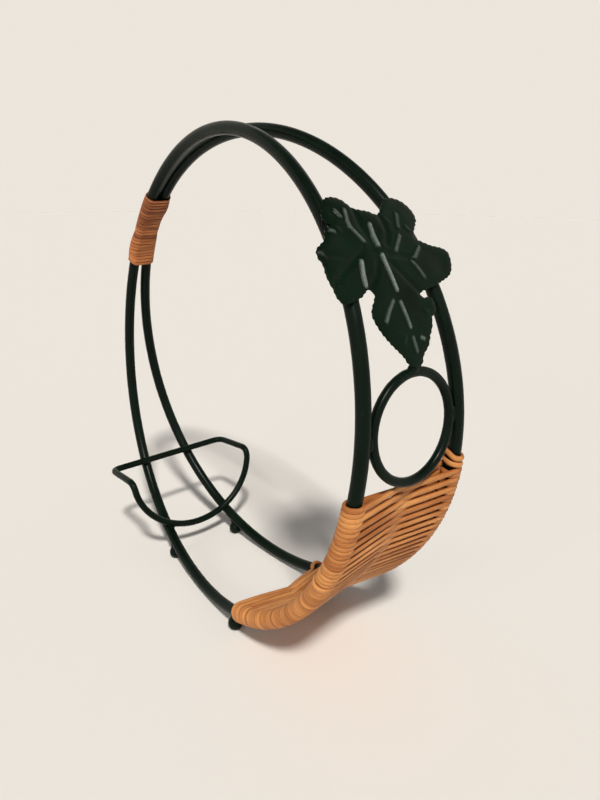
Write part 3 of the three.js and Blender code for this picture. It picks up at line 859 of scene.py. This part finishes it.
def cradle_strand(hoops):
    """Figure eights round both rods with two turns on each, after close turns at the top of the left rod."""
    sizes = settings().cane
    chance = random.Random(sizes.seed)
    strand = Strand(sizes.seed, 0.75)
    reach = hoops.rod + sizes.cradle_thickness / 2
    turn_step = math.radians(22)
    loop_step = (sizes.cradle_start - sizes.cradle_end) / (sizes.cradle_loops - 0.5)
    turn_advance = loop_step / 2
    # Below this direction the winding piles up on the right rod
    pile_end, pile_run = math.radians(26), math.radians(6)
    # On one visit to the right rod the cane lies slack: shifted, lifted and paler
    slack_visit = 18
    slack_middle, slack_half = math.radians(540), math.radians(60)
    slack_shift, slack_lift, slack_tone = math.radians(0.12), 0.7 * MM, 0.4
    # Parts of a span, each with its girth
    span_girths = ((0.1, 1.3), (0.25, 1.4), (0.5, 1.2), (0.75, 1.05))
    span_wander, inner_girth = 0.4, 0.2
    most_bow, tone_range = 0.3, 0.12

    def pile(angle, around):
        """On the right rod the last turns lie on the ones before, on the inner side of the hoops."""
        low = min(1.0, max(0.0, (pile_end - angle) / pile_run))
        return sizes.pile * low * max(0.0, -math.sin(around))

    def on_skin(angle, side, around, lift=0.0):
        out = reach + lift + (pile(angle, around) if side < 0 else 0.0)
        sideways = hoops.half_spacing(angle) - out * math.cos(around)
        return hoops.point(angle, out * math.sin(around), side * sideways)

    def lay(angle, side, around, lift=0.0, girth=1.0, tone=0.0):
        outwards = hoops.away(angle) * math.sin(around) - Vector((0, side * math.cos(around), 0))
        strand.lay(on_skin(angle, side, around, lift), hoops.along(angle), outwards, girth, tone)

    def leaving(angle):
        return math.acos(reach / hoops.half_spacing(angle))

    def visit(angle, side, tone, slack):
        """Turns twice round one rod from where the cane reaches it. Returns where the cane leaves it."""
        begin = leaving(angle)
        sweep = 2 * math.tau - 2 * begin
        steps = max(2, round(sweep / turn_step))
        for step in range(steps + 1):
            turned = sweep * step / steps
            around = begin + turned
            loose = slack * hump(around, slack_middle, slack_half)
            at = angle - turn_advance * turned / math.tau - slack_shift * loose
            girth = 1 + inner_girth * max(0.0, math.cos(around))
            lay(at, side, around, slack_lift * loose, girth, tone + slack_tone * loose)
        return angle - turn_advance * sweep / math.tau

    def span(angle, next_angle, side, around, bow):
        """A run of cane to the outer side of the other rod, thickest near its start and bowed sideways."""
        start = on_skin(angle, side, around)
        end = on_skin(next_angle, -side, leaving(next_angle))
        for part, fuller in span_girths:
            along = hoops.along(angle + (next_angle - angle) * part)
            point = start.lerp(end, part) + along * bow * math.sin(math.pi * part)
            strand.lay(point, along * span_wander, girth=fuller * sizes.span_girth)

    def cross(angle, next_angle, side, bow):
        """The span from the inner side of one rod to the outer side of the other."""
        span(angle, next_angle, side, math.tau - leaving(angle), bow)

    for along, around in CLOSE_TURNS:
        lay(sizes.cradle_top + math.radians(along), 1, math.radians(around), tone=0.1)
    angle = sizes.cradle_top + math.radians(CLOSE_TURNS[-1][0])
    side = 1
    for number in range(2 * sizes.cradle_loops - 1):
        arrival = sizes.cradle_start - number * loop_step / 2
        cross(angle, arrival, side, chance.uniform(-most_bow, most_bow) * MM)
        side = -side
        tone = chance.uniform(-tone_range, tone_range)
        angle = visit(arrival, side, tone, 1.0 if number == slack_visit else 0.0)
    cross(angle, sizes.cradle_end, side, 0.0)
    lay(sizes.cradle_end, 1, leaving(sizes.cradle_end))
    for along, around in SLIPPED_TURN:
        slipped = sizes.cradle_end + math.radians(along)
        lay(slipped, 1, math.radians(around))
    # The end is tucked in among the last turns on the right rod
    tucked = sizes.cradle_end + math.radians(2.5)
    span(slipped, tucked, 1, math.radians(SLIPPED_TURN[-1][1]), 0.0)
    lay(tucked, -1, leaving(tucked))
    return strand


def grip_strand(hoops):
    """Close turns round both rods. Parts of its length are counted from 0 at its top to 1 at its end."""
    sizes = settings().cane
    strand = Strand(sizes.seed + 4, 0.35)
    half_steps = 9
    total = sizes.grip_loops * 2 * half_steps
    pitch = (sizes.grip_end - sizes.grip_top) / sizes.grip_loops
    most_slant, slant_start = math.radians(1.1), 0.82

    def full(part):
        """From 0 over the upper stretch to 1 over the lower one."""
        return slope(part, 0.63, 26)

    def swell_at(part, lean):
        """How thick the winding is there: full on one side at the top, thin in the middle and full below."""
        top = 1.9 * hump(part, 0.17, 0.13) * (1 + lean)
        groove = 0.7 * hump(part, 0.56, 0.04)
        belly = 2.0 * hump(part, 0.79, 0.13) * max(0.0, -lean)
        return top + full(part) - groove + belly

    def tone_at(part, lean):
        """Paler below, with one pale stretch in the middle and one at the top, and painted shade on the left
        rod's side of each turn.
        """
        # Painted shade: the part of each turn on the left rod is darker, most where it faces away from the
        # other rod.
        pale = 0.5 * full(part) - 0.2 - 0.25 * max(0.0, lean)
        return pale + 0.5 * hump(part, 0.52, 0.035) + 0.5 * hump(part, 0.0, 0.035)

    for step in range(total + 1):
        loop, within = divmod(step, 2 * half_steps)
        side = 1 if within < half_steps else -1
        around = (within % half_steps) / (half_steps - 1) * math.pi
        part = step / total
        lean = side * math.sin(around)
        slant = most_slant * min(0.0, lean) ** 2 * max(0.0, part - slant_start) / (1 - slant_start)
        angle = sizes.grip_top + (loop + within / (2 * half_steps)) * pitch - slant
        reach = hoops.rod + sizes.grip_thickness / 2 + swell_at(part, lean) * sizes.grip_swell
        sideways = side * (hoops.half_spacing(angle) + reach * math.sin(around))
        outwards = hoops.away(angle) * side * math.cos(around) + Vector((0, side * math.sin(around), 0))
        point = hoops.point(angle, side * reach * math.cos(around), sideways)
        strand.lay(point, hoops.along(angle), outwards, tone=tone_at(part, lean))
    return strand


# Leaf sheet

def soft_point(points, index, part):
    """A point of the centripetal curve through closed points, between one of them and the next."""
    corners = [points[(index + offset) % len(points)] for offset in (-1, 0, 1, 2)]
    knots = [0.0]
    for start, end in zip(corners, corners[1:]):
        knots.append(knots[-1] + math.sqrt((end - start).length))
    at = knots[1] + part * (knots[2] - knots[1])
    span = 1
    while len(corners) > 1:
        corners = [
            start.lerp(end, (at - knots[number]) / (knots[number + span] - knots[number]))
            for number, (start, end) in enumerate(zip(corners, corners[1:]))
        ]
        span += 1
    return corners[0]


def leaf_edge():
    """Evenly spaced points of the toothed edge, in metres."""
    sizes = settings().leaf
    marks = [Vector(mark) * MM for mark in LEAF_EDGE]
    parts = 24
    dense = [soft_point(marks, index, part / parts) for index in range(len(marks)) for part in range(parts)]
    closed = closed_path(np.array([tuple(point) for point in dense]))
    travelled = np.concatenate([[0], np.cumsum(np.linalg.norm(np.diff(closed, axis=0), axis=1))])
    number = int(travelled[-1] / sizes.grain)
    wanted = np.linspace(0, travelled[-1], number, endpoint=False)
    even = np.stack([np.interp(wanted, travelled, closed[:, axis]) for axis in (0, 1)], 1)
    along = np.roll(even, -1, 0) - np.roll(even, 1, 0)
    outwards = np.stack([along[:, 1], -along[:, 0]], 1)
    outwards /= np.linalg.norm(outwards, axis=1)[:, None]
    tooth = (wanted / sizes.tooth_length) % 1.0
    # Each tooth rises to its crest and falls back, and its level lies on the traced edge
    crest, level = 0.75, 0.6
    saw = np.where(tooth < crest, tooth / crest, (1 - tooth) / (1 - crest)) - level
    return even + outwards * (saw * sizes.tooth_depth)[:, None]


def closed_path(points):
    """The points with the first one again at the end."""
    return np.vstack([points, points[:1]])


def distance_to_path(places, corners):
    """The distance from each place to the line through the corners."""
    nearest = np.full(len(places), np.inf)
    for start, end in zip(corners, corners[1:]):
        run = end - start
        part = np.clip((places - start) @ run / (run @ run), 0, 1)
        nearest = np.minimum(nearest, np.linalg.norm(places - start - part[:, None] * run, axis=1))
    return nearest


def inside(places, edge):
    """Which places lie within the closed edge."""
    found = np.zeros(len(places), bool)
    for start, end in zip(edge, np.roll(edge, -1, 0)):
        spans = (start[1] > places[:, 1]) != (end[1] > places[:, 1])
        rise = end[1] - start[1] if end[1] != start[1] else 1.0
        crossing = start[0] + (places[:, 1] - start[1]) / rise * (end[0] - start[0])
        found ^= spans & (places[:, 0] < crossing)
    return found


def relief(places, lines, half):
    """How much of a pressed line is at each place, from 0 to 1: rounded across it and at its ends."""
    height = np.zeros(len(places))
    for marks, strength in lines:
        nearest = distance_to_path(places, np.array(marks) * MM)
        height = np.maximum(height, strength * (1 + np.cos(np.pi * np.minimum(nearest / half, 1))) / 2)
    return height


def leaf_grid(edge):
    """Places in the flat leaf, on its edge and in even rows inside it, and the triangles between them."""
    grain = settings().leaf.grain
    low, high = edge.min(0), edge.max(0)
    rows = np.arange(low[1], high[1], grain * math.sqrt(3) / 2)
    grid = np.array([
        (across + (number % 2) * grain / 2, up)
        for number, up in enumerate(rows) for across in np.arange(low[0], high[0], grain)
    ])
    grid = grid[inside(grid, edge)]
    edge_clearance = grain * 0.6
    grid = grid[distance_to_path(grid, closed_path(edge)) > edge_clearance]
    flat = [Vector(spot) for spot in np.vstack([edge, grid])]
    rim = [(index, (index + 1) % len(edge)) for index in range(len(edge))]
    spots, _, faces, *_ = delaunay_2d_cdt(flat, rim, [], 1, 1e-9)
    return np.array([tuple(spot) for spot in spots]), [tuple(face) for face in faces]


def leaf_height(places, edge, ribs):
    """How far the sheet stands out at each place: ribs, creases, slow waves and an edge that turns down."""
    sizes = settings().leaf
    wave_height, wave_length, wave_fade = 0.35 * MM, 9 * MM, 4 * MM
    edge_drop, edge_fade = 0.35 * MM, 0.9 * MM
    from_edge = distance_to_path(places, closed_path(edge))
    height = sizes.rib_height * ribs
    height -= sizes.crease_depth * relief(places, LEAF_CREASES, sizes.crease_half)
    waves = np.array([noise(Vector((x / wave_length, y / wave_length, 3.5))) for x, y in places])
    height += wave_height * waves * np.minimum(from_edge / wave_fade, 1)
    height -= edge_drop * np.exp(-from_edge / edge_fade)
    return height


def leaf_sheet(hoops):
    """The leaf as one closed sheet, bent round the hoops. Returns it with the direction of its middle."""
    sizes = settings().leaf
    wires = settings().wires
    edge = leaf_edge()
    places, faces = leaf_grid(edge)
    ribs = relief(places, LEAF_RIBS, sizes.rib_half)
    height = leaf_height(places, edge, ribs)

    sheet_radius = settings().hoops.radius + hoops.rod + wires.seat_gap + sizes.thickness / 2
    tip = min(up for _, up in LEAF_EDGE) * MM
    to_centre = ring_radius(hoops) + wires.wire / 2 + wires.seat_gap - tip
    centre_angle = wires.ring_angle + to_centre / sheet_radius
    dent_room = 0.1 * MM
    base = hoops.rod + wires.seat_gap + sizes.thickness / 2 + dent_room
    points = [
        hoops.point(centre_angle + up / sheet_radius, base + rise, across)
        for (across, up), rise in zip(places, height)
    ]
    mesh = loose_mesh("leaf_sheet", points, faces=faces)
    # The crest mask carries rubbed enamel and a painted highlight along the ribs.
    wear_and_highlight_from = 0.35
    mark_numbers(mesh, "leaf_wear_and_highlight", np.clip((ribs - wear_and_highlight_from) / (1 - wear_and_highlight_from), 0, 1) ** 1.5)
    if mesh.polygons[0].normal.dot(hoops.away(centre_angle)) < 0:
        mesh.flip_normals()
    mesh.shade_smooth()
    mesh.materials.append(finish_of("leaf_enamel"))
    piece = place("leaf_sheet", mesh)
    wall = piece.modifiers.new("Sheet", "SOLIDIFY")
    wall.thickness = sizes.thickness
    wall.offset = 0
    rounding = piece.modifiers.new("Rounded Edge", "BEVEL")
    rounding.width = 0.2 * MM
    rounding.segments = 2
    rounding.limit_method = "ANGLE"
    rounding.angle_limit = math.radians(50)
    return settle(piece), centre_angle


# Weld beads: half sizes in millimetres, lengthwise, sideways and outwards

BAR_BEAD = (2.3, 2.9, 1.7)
U_BEAD = (2.4, 2.0, 2.2)
RING_BEAD = (3.6, 1.5, 1.9)
FOOT_BEAD = (2.9, 2.6, 1.3)
LEAF_BEAD = (3.4, 3.1, 0.75)
TIP_BEAD = (2.2, 2.9, 1.8)


def support_touch(hoops):
    """Where the rear support lies on the left rod: a place between the two, and its direction."""
    _, u_point = support_line(hoops)
    steps = 400
    quarter = math.pi / 2
    on_u = [u_point(step / steps * quarter) for step in range(steps)]
    on_rod = [(hoops.on_rod(number / 100, 1), number / 100) for number in range(-60, 0)]
    spot, (rod_spot, angle) = min(
        ((spot, there) for spot in on_u for there in on_rod),
        key=lambda pair: (pair[0] - pair[1][0]).length)
    towards_rod = 0.46
    return spot.lerp(rod_spot, towards_rod), angle


def bead_places(hoops, leaf_centre):
    """Place, turn and half sizes of each weld bead."""
    wires = settings().wires
    radius = settings().hoops.radius
    touch, touch_angle = support_touch(hoops)
    beads = []

    def add(spot, angle, half_sizes):
        beads.append((spot, Vector((0, -angle, 0)), Vector(half_sizes) * MM))

    for side in (-1, 1):
        under_rod = -hoops.rod - 0.5 * MM
        add(hoops.on_rod(wires.bar_angle, side, under_rod), wires.bar_angle, BAR_BEAD)
        add(Vector((touch.x, side * touch.y, touch.z)), touch_angle, U_BEAD)
        beside_rod = side * (hoops.half_spacing(wires.ring_angle) - hoops.rod - 0.3 * MM)
        add(hoops.point(wires.ring_angle, 0, beside_rod), wires.ring_angle, RING_BEAD)
        for angle in foot_angles(hoops):
            add(hoops.on_rod(angle, side, hoops.rod + 0.2 * MM), angle, FOOT_BEAD)
        for up in (14 * MM, -7 * MM):
            angle = leaf_centre + up / radius
            add(hoops.on_rod(angle, side, hoops.rod), angle, LEAF_BEAD)
    past_ring, over_ring = 1.2 * MM, 1.9 * MM
    tip = wires.ring_angle + (ring_radius(hoops) + past_ring) / radius
    add(hoops.point(tip, over_ring, 0), tip, TIP_BEAD)
    return beads


def foot_angles(hoops):
    """Directions of the rear and the front feet, at the places of the CAD feet."""
    found = []
    for node in ("foot_rear_right", "foot_front_right"):
        low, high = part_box(node)
        wanted = (low.x + high.x) / 2 - hoops.shift
        below, above = -math.pi / 2, math.pi / 2
        halvings = 50
        for _ in range(halvings):
            middle = (below + above) / 2
            if hoops.radius(middle) * math.sin(middle) < wanted:
                below = middle
            else:
                above = middle
        found.append((below + above) / 2)
    return found


# Operators

class HOLDER_OT_hoops(bpy.types.Operator):
    """Build the two rod hoops"""
    bl_idname = "bottle_holder.hoops"
    bl_label = "Hoops"

    def execute(self, context):
        hoops = Hoops()
        sizes = context.scene.bottle_holder.hoops
        tree = hoop_tree()
        for word, side in (("right", -1.0), ("left", 1.0)):
            piece = grow(f"rod_hoop_{word}", bpy.data.meshes.new("seed"), tree, {
                "Radius": sizes.radius,
                "Out of Round": sizes.out_of_round,
                "Long Axis": sizes.long_axis,
                "Middle Half": hoops.middle_half,
                "Signed Spread": hoops.spread_half,
                "Widest Angle": hoops.widest_angle,
                "Side": side,
                "Shift": hoops.shift,
                "Centre Height": hoops.centre_height,
                "Rod Radius": hoops.rod,
                "Path Steps": sizes.path_steps,
                "Round Sides": sizes.round_sides,
                "Material": finish_of("rod_enamel"),
            })
            dress(piece, [f"hoop_{word}"], "green_paint")
        return {"FINISHED"}


class HOLDER_OT_wires(bpy.types.Operator):
    """Build the neck ring and the rear support"""
    bl_idname = "bottle_holder.wires"
    bl_label = "Neck Ring and Rear Support"

    def execute(self, context):
        hoops = Hoops()
        tree = wire_tree()
        values = {
            "Wire Radius": context.scene.bottle_holder.wires.wire / 2,
            "Round Sides": 20,
            "Material": finish_of("rod_enamel"),
        }
        ring = grow("wire_neck_ring", path_mesh("ring", ring_line(hoops), True), tree, values)
        dress(ring, ["neck_ring"], "green_paint")
        support = grow("wire_rear_support", path_mesh("support", support_line(hoops)[0], True), tree, values)
        dress(support, ["rear_support"], "green_paint")
        return {"FINISHED"}


class HOLDER_OT_feet(bpy.types.Operator):
    """Build the four ball feet"""
    bl_idname = "bottle_holder.feet"
    bl_label = "Ball Feet"

    def execute(self, context):
        hoops = Hoops()
        ball = context.scene.bottle_holder.wires.foot / 2
        names = [f"foot_{end}_{word}" for end in ("rear", "front") for word in ("right", "left")]
        spots = [(*hoops.on_rod(angle, side).xy, 0) for angle in foot_angles(hoops) for side in (-1, 1)]
        piece = grow("ball_feet", loose_mesh("feet", spots), foot_tree(), {
            "Ball Radius": ball,
            "Flat Height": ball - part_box("foot_rear_right")[1].z,
            "Material": finish_of("rod_enamel"),
        })
        dress(piece, names, "green_paint")
        return {"FINISHED"}


class HOLDER_OT_leaf(bpy.types.Operator):
    """Build the pressed vine leaf and the weld beads"""
    bl_idname = "bottle_holder.leaf"
    bl_label = "Vine Leaf and Weld Beads"

    def execute(self, context):
        hoops = Hoops()
        leaf, centre_angle = leaf_sheet(hoops)
        dress(leaf, ["vine_leaf"], "leaf_paint")
        beads = bead_places(hoops, centre_angle)
        points = loose_mesh("beads", [spot for spot, _, _ in beads])
        mark_vectors(points, "bead_turn", [turned for _, turned, _ in beads])
        mark_vectors(points, "bead_size", [size for _, _, size in beads])
        piece = grow("weld_beads", points, bead_tree(), {
            "Unevenness": context.scene.bottle_holder.wires.bead_unevenness,
            "Lump Scale": 420.0,
            "Material": finish_of("rod_enamel"),
        })
        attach(piece, "root")
        return {"FINISHED"}


class HOLDER_OT_cane(bpy.types.Operator):
    """Wind the cradle and the grip"""
    bl_idname = "bottle_holder.cane"
    bl_label = "Cane Windings"

    def execute(self, context):
        hoops = Hoops()
        sizes = context.scene.bottle_holder.cane
        tree = cane_tree()
        for name, strand, width, thickness, node, slot, finish in (
                ("wound_cradle", cradle_strand(hoops), sizes.cradle_width, sizes.cradle_thickness,
                 "cradle_winding", "cradle_cane", "cradle_rattan"),
                ("wound_grip", grip_strand(hoops), sizes.grip_width, sizes.grip_thickness,
                 "grip_winding", "grip_cane", "grip_rattan")):
            piece = grow(name, strand.mesh(name, sizes.unevenness), tree, {
                "Half Width": width / 2,
                "Half Thickness": thickness / 2,
                "Round Sides": sizes.strand_sides,
                "Smooth Steps": 2,
                "Material": finish_of(finish),
            })
            dress(piece, [node], slot)
        return {"FINISHED"}


class HOLDER_OT_stage(bpy.types.Operator):
    """Set the floor, the backdrop, the lamps and the camera"""
    bl_idname = "bottle_holder.stage"
    bl_label = "Stage"

    def execute(self, context):
        stage = context.scene.bottle_holder.stage
        add_floor_and_backdrop(stage)
        add_light(context.scene, stage)
        add_camera(context.scene, stage)
        context.scene.view_settings.view_transform = "Standard"
        return {"FINISHED"}


# Stage: what the operator above sets up round the holder

FLOOR_RADIUS = 3.0
WALL_RADIUS = 2.95
WALL_HEIGHT = 3.0
STAGE_SIDES = 96
LAMP_TINT = (1, 0.97, 0.92)
FILL_TINT = (1, 0.985, 0.96)


def add_floor_and_backdrop(stage):
    floor = place("floor", floor_mesh())
    floor.data.materials.append(paper("floor_paper", stage.floor))
    wall = place("backdrop", wall_mesh())
    wall.data.materials.append(lit_paper("backdrop_paper", lit_floor_colour(stage)))
    wall.visible_shadow = False


def ring_points(radius, height):
    """Points evenly round the upright axis."""
    turns = [math.tau * step / STAGE_SIDES for step in range(STAGE_SIDES)]
    return [(radius * math.cos(angle), radius * math.sin(angle), height) for angle in turns]


def floor_mesh():
    """A flat disc that faces upwards."""
    points = [(0.0, 0.0, 0.0), *ring_points(FLOOR_RADIUS, 0.0)]
    faces = [(0, 1 + step, 1 + (step + 1) % STAGE_SIDES) for step in range(STAGE_SIDES)]
    return loose_mesh("floor", points, faces=faces)


def wall_mesh():
    """An upright wall near the floor's rim, seen from inside."""
    points = ring_points(WALL_RADIUS, 0.0) + ring_points(WALL_RADIUS, WALL_HEIGHT)
    faces = []
    for step in range(STAGE_SIDES):
        after = (step + 1) % STAGE_SIDES
        faces.append((step, STAGE_SIDES + step, STAGE_SIDES + after, after))
    mesh = loose_mesh("backdrop", points, faces=faces)
    mesh.shade_smooth()
    return mesh


def paper(name, colour):
    """Plain matt paper."""
    material, tree = start_material(name)
    shader = tree.nodes["Principled BSDF"]
    shader.inputs["Base Color"].default_value = colour
    shader.inputs["Roughness"].default_value = 1.0
    shader.inputs["Specular IOR Level"].default_value = 0.0
    return material


def lit_paper(name, colour):
    """A backdrop that the camera and reflections see in one even colour, and that no other light meets."""
    material, tree = start_material(name)
    tree.nodes.remove(tree.nodes["Principled BSDF"])
    ray = add_node(tree, "ShaderNodeLightPath").outputs
    seen = calculate(tree, "ADD", ray["Is Camera Ray"], ray["Is Glossy Ray"])
    seen = calculate(tree, "MINIMUM", calculate(tree, "ADD", seen, ray["Is Transmission Ray"]), 1.0)
    glow = add_step(tree, "ShaderNodeEmission", {"Color": colour, "Strength": 1.0})
    clear = add_step(tree, "ShaderNodeBsdfTransparent")
    mixed = add_step(tree, "ShaderNodeMixShader", {0: seen, 1: clear, 2: glow})
    tree.links.new(mixed, tree.nodes["Material Output"].inputs["Surface"])
    return material


def stage_lamps(stage):
    """Name, direction from the holder, strength and width of each lamp."""
    key = Vector((0.49, -0.285, 0.823)).normalized()
    side = Vector((0.2, -0.92, 0.33)).normalized()
    return (
        ("key_lamp", key, stage.key_strength, stage.key_angle),
        ("side_lamp", side, stage.side_strength, stage.side_angle),
    )


def lit_floor_colour(stage):
    """The colour that the floor has in the light of the lamps and from all around."""
    direct = sum(strength * towards.z / math.pi for _, towards, strength, _ in stage_lamps(stage))
    lit = [
        colour * (direct * tinted + stage.fill * even)
        for colour, tinted, even in zip(stage.floor, LAMP_TINT, FILL_TINT)
    ]
    return (*lit, 1)


def add_light(scene, stage):
    """Even light from all around, and the lamps."""
    world = bpy.data.worlds.new("even_light")
    world.use_nodes = True
    background = world.node_tree.nodes["Background"]
    background.inputs["Color"].default_value = (*FILL_TINT, 1)
    background.inputs["Strength"].default_value = stage.fill
    scene.world = world
    for name, towards, strength, angle in stage_lamps(stage):
        lamp = bpy.data.lights.new(name, "SUN")
        lamp.energy = strength
        lamp.angle = angle
        lamp.color = LAMP_TINT
        holder = place(name, lamp)
        holder.location = towards
        holder.rotation_euler = towards.to_track_quat("Z", "Y").to_euler()


def add_camera(scene, stage):
    """The camera at the photograph's angle. Its place is in metres, counted from the middle of the hoops."""
    data = bpy.data.cameras.new("photo_view")
    data.lens = stage.camera_lens
    data.sensor_width = 36
    data.clip_start = 0.01
    yaw, pitch, roll = math.radians(50.53), math.radians(20.87), math.radians(-0.65)
    ahead, aside, height = 0.26366, -0.1751, 0.2338
    forward = Vector((
        -math.sin(yaw) * math.cos(pitch), math.cos(yaw) * math.cos(pitch), -math.sin(pitch)))
    level = Vector((math.cos(yaw), math.sin(yaw), 0))
    down = forward.cross(level)
    across = level * math.cos(roll) + down * math.sin(roll)
    fall = down * math.cos(roll) - level * math.sin(roll)
    turned = Matrix((across, -fall, -forward)).transposed().to_4x4()
    camera = place("photo_view", data)
    camera.matrix_world = Matrix.Translation((Hoops().shift + ahead, aside, height)) @ turned
    scene.camera = camera


STEPS = (HOLDER_OT_hoops, HOLDER_OT_wires, HOLDER_OT_feet, HOLDER_OT_leaf, HOLDER_OT_cane, HOLDER_OT_stage)


class HOLDER_PT_panel(bpy.types.Panel):
    """Lists the steps that build the holder, and its settings"""
    bl_idname = "HOLDER_PT_panel"
    bl_label = "Bottle Holder"
    bl_space_type = "VIEW_3D"
    bl_region_type = "UI"
    bl_category = "Bottle Holder"

    def draw(self, context):
        for step in STEPS:
            self.layout.operator(step.bl_idname)
        holder = context.scene.bottle_holder
        for group in (holder.hoops, holder.wires, holder.leaf, holder.cane, holder.finish, holder.stage):
            box = self.layout.box()
            for key in group.bl_rna.properties.keys():
                if key not in ("rna_type", "name"):
                    box.prop(group, key)


CLASSES = (
    HoopSettings, WireSettings, LeafSettings, CaneSettings, FinishSettings, StageSettings, HolderSettings,
    *STEPS, HOLDER_PT_panel,
)


def register():
    for cls in CLASSES:
        bpy.utils.register_class(cls)
    bpy.types.Scene.bottle_holder = bpy.props.PointerProperty(type=HolderSettings)


def unregister():
    del bpy.types.Scene.bottle_holder
    for cls in reversed(CLASSES):
        bpy.utils.unregister_class(cls)


def main():
    register()
    bpy.ops.bottle_holder.hoops()
    bpy.ops.bottle_holder.wires()
    bpy.ops.bottle_holder.feet()
    bpy.ops.bottle_holder.leaf()
    bpy.ops.bottle_holder.cane()
    bpy.ops.bottle_holder.stage()


if __name__ == "__main__":
    main()
